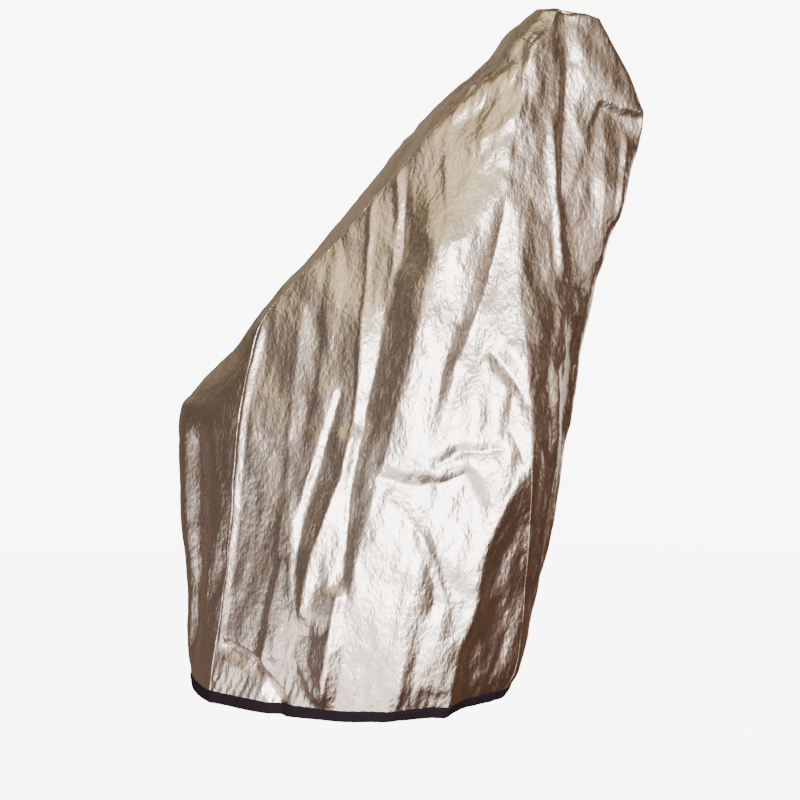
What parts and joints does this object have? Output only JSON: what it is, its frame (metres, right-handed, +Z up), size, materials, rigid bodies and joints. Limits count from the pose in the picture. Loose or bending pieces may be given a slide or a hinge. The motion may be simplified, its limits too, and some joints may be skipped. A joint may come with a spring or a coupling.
{
  "type": "telescope cover",
  "caption": "Fitted cover of crinkled silver-coated cloth for a small refracting telescope on a tripod, with a black elastic binding at its open hem.",
  "frame": {"origin": "the point inside the top of the crown where the end of the tube carries the cover", "axes": "+Z up, +X towards the raised end of the tube, -Y out of the front panel"},
  "size_m": [0.7537, 0.3837, 1.1],
  "materials": {
    "silver_cloth": "metallised, finely crinkled, half-gloss",
    "black_binding": "woven elastic, matt"
  },
  "bodies": {
    "root": {"front_panel": "silver_cloth", "back_panel": "silver_cloth", "gusset": "silver_cloth", "hem_binding": "black_binding"}
  },
  "joints": []
}
